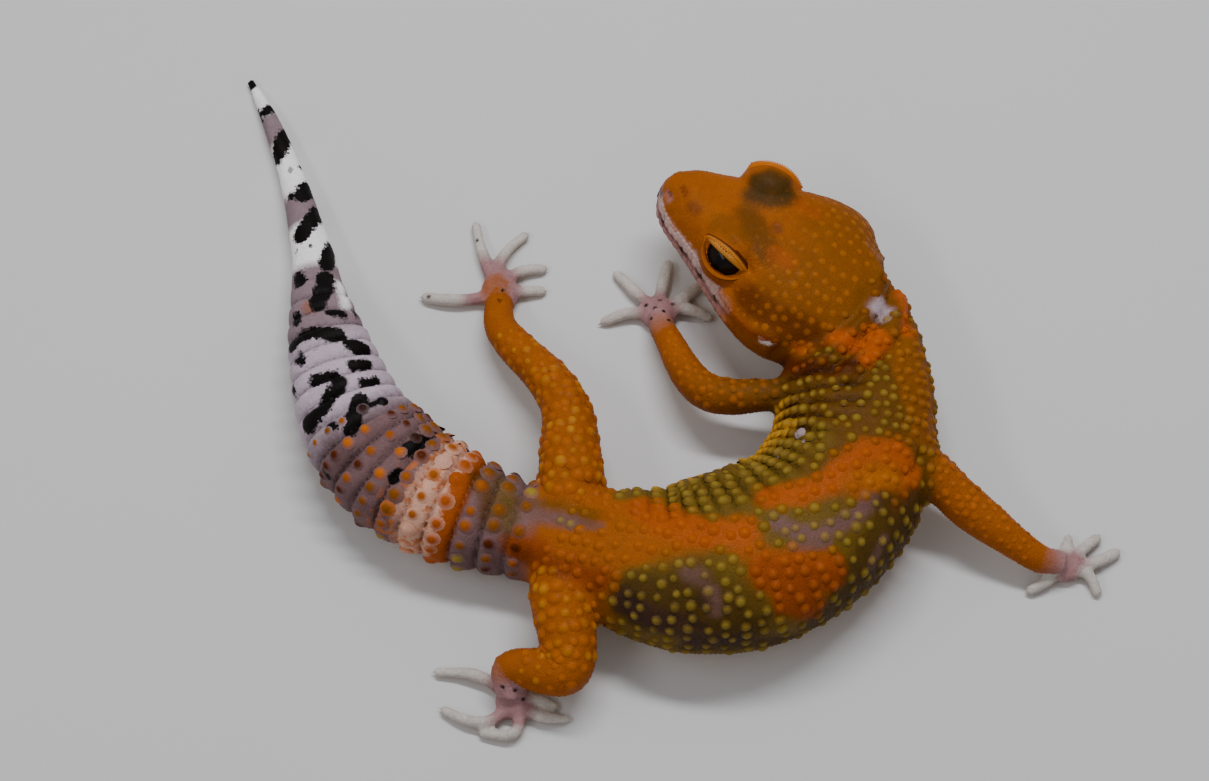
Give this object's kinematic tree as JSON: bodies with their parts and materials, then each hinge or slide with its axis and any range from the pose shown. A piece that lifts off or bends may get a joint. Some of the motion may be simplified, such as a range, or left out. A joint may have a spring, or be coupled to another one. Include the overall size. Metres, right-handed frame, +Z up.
{
  "type": "leopard gecko",
  "caption": "Young leopard gecko lying curled to its left with its head raised, a still life-size model with an orange body and a pale, dark-marked tail.",
  "frame": {"origin": "middle of the bounding box in plan, on the floor that the animal lies on", "axes": "+Z up from the floor; +X the longest way across the curled animal, from the tail's side to the outstretched right forefoot; +Y towards the snout's and the tail tip's side"},
  "size_m": [0.0922, 0.076, 0.0144],
  "materials": {
    "head_skin": "granular scaled skin, satin",
    "body_skin": "scaled skin with raised tubercles, satin",
    "tail_root_skin": "ringed scaled skin, satin",
    "tail_skin": "ringed scaled skin with dark marks, satin",
    "limb_skin": "scaled skin, satin",
    "paw_skin": "fine scaled skin, satin",
    "eye": "wet gloss"
  },
  "bodies": {
    "root": {"head": "head_skin", "eye_left": "eye", "eye_right": "eye", "neck": "body_skin", "chest": "body_skin", "belly": "body_skin", "loins": "body_skin", "hips": "body_skin", "tail_root": "tail_root_skin", "tail_bend": "tail_root_skin", "tail_middle": "tail_skin", "tail_end": "tail_skin", "front_left_upper_arm": "limb_skin", "front_left_forearm": "limb_skin", "front_left_hand": "paw_skin", "front_right_upper_arm": "limb_skin", "front_right_forearm": "limb_skin", "front_right_hand": "paw_skin", "hind_left_thigh": "limb_skin", "hind_left_shank": "limb_skin", "hind_left_foot": "paw_skin", "hind_right_thigh": "limb_skin", "hind_right_shank": "limb_skin", "hind_right_foot": "paw_skin"}
  },
  "joints": []
}
